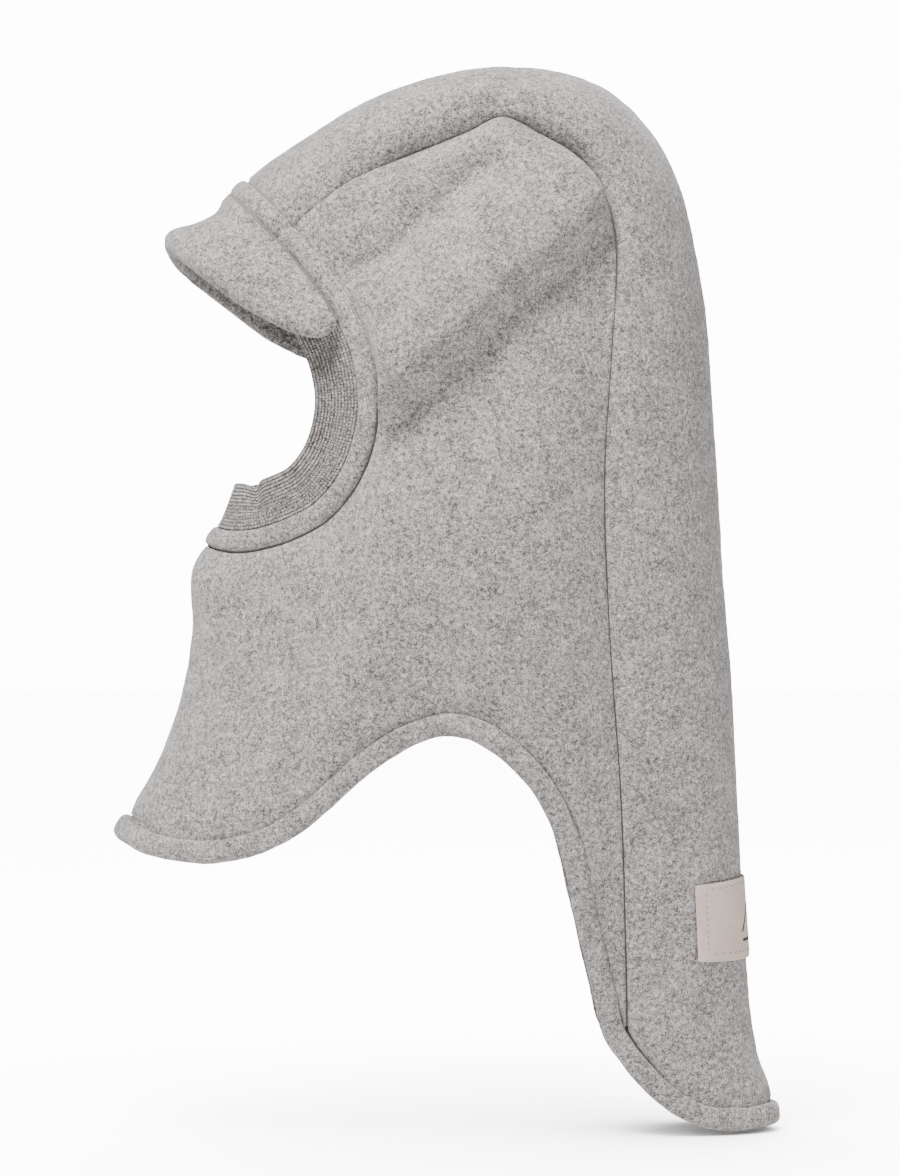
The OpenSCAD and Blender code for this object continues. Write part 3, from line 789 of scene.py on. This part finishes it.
def patch_surface(x, y):
    """Place on the gusset of a point x across the patch and y down it, square to the back."""
    x, y = np.broadcast_arrays(x, y)
    angle = np.arcsin(np.clip(x / patch_girth, -0.97, 0.97))
    f = angle / (np.pi / 2)
    s = patch_at + (y + patch_slant * (1 - np.cos(angle))) / BACK["length"]
    return gusset_surface(s - SAG_KEPT * gusset_sag(s, f) / BACK["length"], f)


def patch_up(x, y):
    """Direction square out of the gusset at a point of the patch."""
    return unit(np.cross(patch_surface(x, y + 1) - patch_surface(x, y - 1),
                         patch_surface(x + 1, y) - patch_surface(x - 1, y)))


def patch_sheet(name, width, height, lift, thickness, cells, edge, middle=(0, 0)):
    """A rectangle bent on to the gusset, whose edges roll down over the last millimetres."""
    rows, columns = cells
    y, x = np.meshgrid(np.linspace(-height / 2, height / 2, rows + 1) + middle[1],
                       np.linspace(-width / 2, width / 2, columns + 1) + middle[0], indexing="ij")
    rim = np.minimum(height / 2 - np.abs(y - middle[1]), width / 2 - np.abs(x - middle[0]))
    drop = 0.4 * np.clip(1 - rim / edge, 0, 1) ** 2
    g = patch_surface(x, y) + patch_up(x, y) * (lift + thickness - drop)[..., None]
    return cloth(name, g, thickness * 0.9)


patch = patch_sheet("back_label", PATCH_W, PATCH_H, PATCH_LIFT, PATCH_T, (44, 76), 1.2)

# %% Stitches on the patch
STITCH_L, STITCH_INSET, STITCH_D = 1.4, 2.4, 0.55
stitch_w, stitch_h = PATCH_W / 2 - STITCH_INSET, PATCH_H / 2 - STITCH_INSET
step = STITCH_L * 1.9
runs = []
for y in (-stitch_h, stitch_h):
    count = int(2 * stitch_w / step)
    runs += [((i + 0.5 - count / 2) * step, y, 1, 0) for i in range(count)]
for x in (-stitch_w, stitch_w):
    count = int(2 * stitch_h / step)
    runs += [(x, (i + 0.5 - count / 2) * step, 0, 1) for i in range(count)]


def stitches(name, places):
    """Small rounded threads, one per place (x, y, dx, dy) on the patch."""
    bm = bmesh.new()
    for x, y, dx, dy in places:
        up = Vector(patch_up(x, y))
        along = Vector(patch_surface(x + dx, y + dy) - patch_surface(x - dx, y - dy)).normalized()
        side = up.cross(along)
        place = Vector(patch_surface(x, y)) + up * (PATCH_LIFT + PATCH_T - 0.1)
        new = bmesh.ops.create_uvsphere(bm, u_segments=10, v_segments=6, radius=0.5)["verts"]
        for vert in new:
            c = vert.co.copy()
            vert.co = (place + along * c.z * STITCH_L + side * c.x * STITCH_D + up * c.y * STITCH_D) * MM
    bmesh.ops.recalc_face_normals(bm, faces=bm.faces)
    return finish_mesh(name, bm)


patch_thread = stitches("label_stitches", runs)
print(len(runs), "stitches")


# %% Mark on the patch
def strip(points, width, lift):
    """Points of a narrow band along a line of places on the patch."""
    p = np.array(points, float)
    dense = np.concatenate([np.linspace(p[i], p[i + 1], 9)[:-1] for i in range(len(p) - 1)] + [p[-1:]])
    d = unit(np.gradient(dense, axis=0))
    side = np.stack([-d[:, 1], d[:, 0]], axis=1) * width / 2
    x = np.stack([dense[:, 0] + side[:, 0] * k for k in (-1, 1)], axis=1)
    y = np.stack([dense[:, 1] + side[:, 1] * k for k in (-1, 1)], axis=1)
    return patch_surface(x, y) + patch_up(x, y) * lift


PEAKS = [[(-13, 6), (-5, -6), (3, 6)], [(1, 6), (7, -2), (13, 6)], [(-13, 9.5), (13, 9.5)]]
mark_parts = [cloth("mark", strip(p, 1.1, PATCH_LIFT + PATCH_T + 0.06), 0.2) for p in PEAKS]
bm = bmesh.new()
for part in mark_parts:
    bm.from_mesh(part.data)
    bpy.data.objects.remove(part)
mark = finish_mesh("label_mark", bm)


# %% [markdown]
# ## Finishes
# Every cloth here is a mixture of light and dark fibres, so one node group makes that mixture
# at three sizes: single fibres, the clumps they felt into, and a soft cloudiness across the
# panel. Each material places the group with its own sizes and colours. Colours are written as
# a painter's screen values and turned into the linear ones that the shader wants.

# %% Node helpers
def linear(red, green, blue):
    """A shader colour from screen values of 0 to 255."""
    return tuple((c / 255 / 12.92 if c <= 10 else ((c / 255 + 0.055) / 1.055) ** 2.4)
                 for c in (red, green, blue)) + (1,)


def add(tree, kind, feeds=(), **settings):
    """Adds a shader node. feeds holds its inputs: another node's output, or a value."""
    node = tree.nodes.new("ShaderNode" + kind)
    for key, value in settings.items():
        setattr(node, key, value)
    for key, source in dict(feeds).items():
        if isinstance(source, bpy.types.NodeSocket):
            tree.links.new(source, node.inputs[key])
        else:
            node.inputs[key].default_value = source
    return node


def math_node(tree, operation, *values, clamp=False):
    """One step of arithmetic in a shader: gives the output of a Math node."""
    return add(tree, "Math", dict(enumerate(values)), operation=operation,
               use_clamp=clamp).outputs[0]


def times(tree, a, b):
    """Product of two shader values."""
    return math_node(tree, "MULTIPLY", a, b)


def plus(tree, a, b, clamp=False):
    """Sum of two shader values."""
    return math_node(tree, "ADD", a, b, clamp=clamp)


def less(tree, a, b):
    """Difference of two shader values."""
    return math_node(tree, "SUBTRACT", a, b)


def new_group(name, inputs, outputs):
    """An empty node group; returns it with its input and output nodes."""
    tree = bpy.data.node_groups.new(name, "ShaderNodeTree")
    for label, kind in inputs:
        tree.interface.new_socket(label, in_out="INPUT", socket_type="NodeSocket" + kind)
    for label, kind in outputs:
        tree.interface.new_socket(label, in_out="OUTPUT", socket_type="NodeSocket" + kind)
    return tree, tree.nodes.new("NodeGroupInput"), tree.nodes.new("NodeGroupOutput")


# %% Heather group
EYE = 1.5                # light grows faster than the eye sees it, so the mixture is bent by this
FIBRE_SHARE, CLUMP_SHARE = 0.66, 0.34
heather, given, result = new_group(
    "heather",
    [("Vector", "Vector"), ("Dark", "Color"), ("Light", "Color"), ("Fibre", "Float"),
     ("Clump", "Float"), ("Cloud", "Float"), ("Cloudiness", "Float"), ("Contrast", "Float")],
    [("Color", "Color"), ("Height", "Float")])
tangle = add(heather, "TexNoise", {"Vector": given.outputs["Vector"], "Scale": 300.0, "Detail": 1.0})
shift = add(heather, "VectorMath", {0: tangle.outputs["Color"], 3: 0.0006}, operation="SCALE")
bent = add(heather, "VectorMath", {0: given.outputs["Vector"], 1: shift.outputs[0]}, operation="ADD")
fibre = add(heather, "TexNoise", {"Vector": bent.outputs[0], "Scale": given.outputs["Fibre"],
                                  "Detail": 3.0, "Roughness": 0.6})
clump = add(heather, "TexNoise", {"Vector": bent.outputs[0], "Scale": given.outputs["Clump"],
                                  "Detail": 2.0, "Roughness": 0.55})
cloud = add(heather, "TexNoise", {"Vector": given.outputs["Vector"],
                                  "Scale": given.outputs["Cloud"], "Detail": 2.0})
fine = plus(heather, times(heather, fibre.outputs["Fac"], FIBRE_SHARE),
            times(heather, clump.outputs["Fac"], CLUMP_SHARE))
soft_part = times(heather, less(heather, cloud.outputs["Fac"], 0.5), given.outputs["Cloudiness"])
level = times(heather, less(heather, fine, 0.5), given.outputs["Contrast"])
even_share = plus(heather, plus(heather, level, soft_part), 0.5, clamp=True)
share = math_node(heather, "POWER", even_share, EYE)
tone = add(heather, "Mix", {0: share, 6: given.outputs["Dark"], 7: given.outputs["Light"]},
           data_type="RGBA")
heather.links.new(tone.outputs[2], result.inputs["Color"])
heather.links.new(fine, result.inputs["Height"])


# %% Material helper
def new_material(name, roughness, sheen=0.0, sheen_roughness=0.5):
    """A material with a Principled BSDF, and its Object and UV coordinates."""
    material = bpy.data.materials.new(name)
    material.use_nodes = True
    tree = material.node_tree
    shader = tree.nodes["Principled BSDF"]
    shader.inputs["Roughness"].default_value = roughness
    shader.inputs["Sheen Weight"].default_value = sheen
    shader.inputs["Sheen Roughness"].default_value = sheen_roughness
    shader.inputs["Specular IOR Level"].default_value = 0.2
    place = tree.nodes.new("ShaderNodeTexCoord").outputs
    return material, tree, shader, place


def heathered(tree, vector, dark, light, fibre, clump, cloud, cloudiness, contrast):
    """Places the heather group; sizes are in millimetres."""
    node = add(tree, "Group", node_tree=heather)
    tree.links.new(vector, node.inputs["Vector"])
    for key, value in (("Dark", linear(*dark)), ("Light", linear(*light)),
                       ("Fibre", 1 / (fibre * MM)), ("Clump", 1 / (clump * MM)),
                       ("Cloud", 1 / (cloud * MM)), ("Cloudiness", cloudiness),
                       ("Contrast", contrast)):
        node.inputs[key].default_value = value
    return node.outputs["Color"], node.outputs["Height"]


def dress(tree, shader, colour, height, depth):
    """Gives the shader its colour, and a bump that is depth millimetres high."""
    tree.links.new(colour, shader.inputs["Base Color"])
    node = add(tree, "Bump", {"Height": height, "Distance": depth * MM, "Strength": 1.0})
    tree.links.new(node.outputs[0], shader.inputs["Normal"])


def plain_cloth(name, roughness, sheen, depth, dark, light, **mixture):
    """A material of the heather mixture alone, with its fibres raised by depth."""
    material, tree, shader, place = new_material(name, roughness, sheen)
    colour, height = heathered(tree, place["Object"], dark, light, **mixture)
    dress(tree, shader, colour, height, depth)
    return material


# %% Fleece
fleece = plain_cloth("heather_fleece", 0.95, 0.35, 0.8, (82, 78, 76), (223, 216, 213),
                     fibre=0.62, clump=1.8, cloud=11, cloudiness=0.35, contrast=3.5)

# %% [markdown]
# ## Rib knit
# A rib's stitches are small V shapes stacked along each ridge. The pattern follows the cloth,
# so it reads the strip's own UV map: U runs round the opening and V across the strip. A saw
# shape of V bends the stitch line into the V, and a sine of V paints shade into the gap between
# ridges. A sine along U paints each stitch lit and the space between stitches shaded.

# %% Rib knit
RIDGE_STEP = (RIB_W - half_t) / RIB_ROWS
STITCH_STEP = 1.45
STITCH_LEAN = 1.1        # how far along the row a stitch runs between ridge and gap, in steps
# Painted shade: the colour is darkened in the gap between ridges and between stitches and lightened
# along each stitch's loop, though the yarn is one heather throughout.
GAP_SHADE, STITCH_LIT, STITCH_SHADE_LEVEL = 0.82, 0.46, 0.6
rib_knit, tree, shader, place = new_material("rib_knit", 0.9, sheen=0.2)
colour, height = heathered(tree, place["Object"], (92, 86, 83), (240, 232, 226),
                           fibre=0.62, clump=1.4, cloud=12, cloudiness=0.4, contrast=3.6)
uv = add(tree, "SeparateXYZ", {0: place["UV"]}).outputs
row = times(tree, uv[1], 1 / (RIDGE_STEP * MM))
from_ridge = math_node(tree, "ABSOLUTE", less(tree, math_node(tree, "FRACT", row), 0.5))
phase = plus(tree, times(tree, uv[0], 1 / (STITCH_STEP * MM)), times(tree, from_ridge, STITCH_LEAN))
wave_u = math_node(tree, "SINE", times(tree, phase, 2 * math.pi))
stitch_mask = plus(tree, times(tree, wave_u, 0.5), 0.5)
gap = math_node(tree, "POWER", times(tree, from_ridge, 2.0), 1.8)
shade = times(tree, less(tree, 1.0, times(tree, gap, GAP_SHADE)),
              plus(tree, times(tree, stitch_mask, STITCH_LIT), STITCH_SHADE_LEVEL))
shaded_knit_colour = add(tree, "Mix", {0: 1.0, 6: colour, 7: shade}, data_type="RGBA",
                  blend_type="MULTIPLY")
knit_height = plus(tree, times(tree, stitch_mask, 0.6), times(tree, height, 0.4))
dress(tree, shader, shaded_knit_colour.outputs[2], knit_height, 0.35)

# %% Lining, interlining and thread
WALE, COURSE = 1.1, 0.9  # the jersey's stitches across and along
lining_cloth, tree, shader, place = new_material("jersey_lining", 0.9, sheen=0.15)
colour, height = heathered(tree, place["Object"], (152, 147, 142), (226, 221, 216),
                           fibre=0.4, clump=1.0, cloud=14, cloudiness=0.4, contrast=1.8)
uv = add(tree, "SeparateXYZ", {0: place["UV"]}).outputs
wale = math_node(tree, "SINE", times(tree, uv[1], 2 * math.pi / (WALE * MM)))
course = math_node(tree, "SINE", times(tree, uv[0], 2 * math.pi / (COURSE * MM)))
knit = times(tree, plus(tree, wale, course), 0.25)
dress(tree, shader, colour, plus(tree, knit, height), 0.25)

felt = plain_cloth("felt_interlining", 0.95, 0.0, 0.3, (170, 165, 155), (232, 228, 220),
                   fibre=0.3, clump=0.9, cloud=10, cloudiness=0.3, contrast=2.0)
# The thread is real grey thread, and its grey is set near the fleece's dark tone so that the sunk seam
# threads also paint shade at the bottom of each seam's groove.
thread_and_groove_shade = plain_cloth("thread_and_groove_shade", 0.6, 0.1, 0.1, (92, 87, 84), (160, 154, 149),
                            fibre=0.15, clump=0.5, cloud=8, cloudiness=0.3, contrast=1.6)

# %% Patch leather
GRAIN = 0.9              # size of the leather's pebbles
leather, tree, shader, place = new_material("patch_leather", 0.55)
colour, height = heathered(tree, place["Object"], (206, 184, 172), (234, 216, 204),
                           fibre=0.5, clump=1.6, cloud=14, cloudiness=0.8, contrast=1.2)
grain = add(tree, "TexVoronoi", {"Vector": place["Object"], "Scale": 1 / (GRAIN * MM)},
            feature="DISTANCE_TO_EDGE")
crease = math_node(tree, "MINIMUM", times(tree, grain.outputs["Distance"], 4.0), 1.0)
dress(tree, shader, colour, plus(tree, crease, height), 0.12)
mark_ink = plain_cloth("mark_ink", 0.6, 0.0, 0.05, (48, 46, 46), (92, 88, 86),
                       fibre=0.3, clump=0.8, cloud=6, cloudiness=0.3, contrast=1.6)

# %% [markdown]
# ## What each piece rides on
# The hood is the body, and every piece but the brim's rides it. On the real thing there is
# no hinge: the cloth at the brim's root bends. The brim's pieces are only baked into place
# here and ride no body.

# %% Riding and slots
FINISH = {"fleece": fleece, "rib_knit": rib_knit, "lining": lining_cloth,
          "interlining": felt, "patch": leather, "thread": thread_and_groove_shade}


def node_of(piece):
    """The CAD node that a piece is named after; Blender put a number behind the name."""
    return piece.name.split(".")[0]


hood_pieces = {
    "fleece": [side_left, side_right, centre, binding, hem],
    "rib_knit": [rib],
    "lining": [lining_left, lining_right, lining_centre],
    "patch": [patch],
    "thread": [patch_thread, crown_left, crown_right, front_seam, face_seam, rib_seam,
               hem_seam],
}
brim_pieces = {"fleece": [brim_top, brim_low], "interlining": [stiffener], "thread": [brim_seam]}
for slot_name, pieces in [*hood_pieces.items(), *brim_pieces.items()]:
    for piece in pieces:
        piece.data.materials.append(FINISH[slot_name])
for pieces in hood_pieces.values():
    for piece in pieces:
        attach(piece, "hood")
        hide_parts(node_of(piece))
mark.data.materials.append(mark_ink)
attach(mark, "hood")
for pieces in brim_pieces.values():
    for piece in pieces:
        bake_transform(piece)
        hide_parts(node_of(piece))

# %% [markdown]

# %% [markdown]
# ## Camera
# The view is square to the wearer's left side, as in a shop's side view. The hood hangs empty
# and the camera stands far enough back for the brim and the tail to keep their true sizes.

# %% Camera
VIEW_MIDDLE = Vector((-21, 0, -121)) * MM     # the point that the picture is centred on
VIEW_HEIGHT = 494 * MM                        # height of the picture at the hood's middle plane
VIEW_DISTANCE = 1.4
camera = bpy.data.objects.new("camera", bpy.data.cameras.new("camera"))
bpy.context.collection.objects.link(camera)
camera.location = VIEW_MIDDLE - Vector((0, VIEW_DISTANCE, 0))
camera.rotation_euler = (math.pi / 2, 0, 0)
camera.data.lens = camera.data.sensor_width * VIEW_DISTANCE / VIEW_HEIGHT
bpy.context.scene.camera = camera

# %% [markdown]
# ## Floor and light
# A pale studio: a large plain floor and a soft light from above and slightly in front. The sky
# lights the cloth evenly, and it looks brighter to the camera than it shines, so that the
# background is white and the cloth keeps its own grey.

# %% Sky
world = bpy.data.worlds.new("studio")
world.use_nodes = True
tree = world.node_tree
sky = tree.nodes["Background"]
SKY_LIGHT, SKY_SEEN = 0.26, 14.0
seen = tree.nodes.new("ShaderNodeLightPath").outputs["Is Camera Ray"]
sky.inputs["Color"].default_value = (1, 1, 1, 1)
strength = add(tree, "Mix", {0: seen, 2: SKY_LIGHT, 3: SKY_SEEN}, data_type="FLOAT")
tree.links.new(strength.outputs[0], sky.inputs["Strength"])
bpy.context.scene.world = world


# %% Lights
def area_light(name, place, aim, size, power):
    """A square lamp at a place, turned to the point that it lights."""
    data = bpy.data.lights.new(name, "AREA")
    data.size, data.energy = size, power
    light = bpy.data.objects.new(name, data)
    light.location = place
    light.rotation_euler = (Vector(aim) - Vector(place)).to_track_quat("-Z", "Y").to_euler()
    bpy.context.collection.objects.link(light)


area_light("key", (-0.45, -0.68, 1.35), (0, 0, -0.1), 0.45, 60)
area_light("fill", (0.9, -1.1, 0.3), (0, 0, -0.15), 1.0, 5)
area_light("back", (0.3, 1.3, 0.9), (0, 0, -0.1), 1.0, 26)

# %% Floor
FLOOR_BELOW, FLOOR_SIZE = 2.0, 12.0     # in millimetres and in metres
FLOOR_GLOW = 12.0
bm = bmesh.new()
bmesh.ops.create_grid(bm, x_segments=8, y_segments=8, size=FLOOR_SIZE / 2)
bmesh.ops.translate(bm, verts=bm.verts, vec=(0, 0, cad_low[2] - FLOOR_BELOW * MM))
floor = finish_mesh("floor", bm)
paper, tree, shader, place = new_material("pale_floor", 0.9)
grain = add(tree, "TexNoise", {"Vector": place["Object"], "Scale": 400.0, "Detail": 2.0})
tint = add(tree, "Mix", {0: grain.outputs["Fac"], 6: linear(236, 236, 236), 7: linear(244, 244, 244)},
           data_type="RGBA")
tree.links.new(tint.outputs[2], shader.inputs["Base Color"])
seen = add(tree, "LightPath").outputs["Is Camera Ray"]
# Painted shadow: the floor's glow, seen only by the camera, is dimmed by ambient occlusion near the
# hood, a soft contact shadow painted on the floor.
shelter = add(tree, "AmbientOcclusion", {"Distance": 0.3}).outputs["AO"]
painted_shadow_factor = math_node(tree, "POWER", shelter, 2.5)
glow_with_painted_shadow = times(tree, seen, times(tree, painted_shadow_factor, FLOOR_GLOW))
shader.inputs["Emission Color"].default_value = (1, 1, 1, 1)
tree.links.new(glow_with_painted_shadow, shader.inputs["Emission Strength"])
floor.data.materials.append(paper)
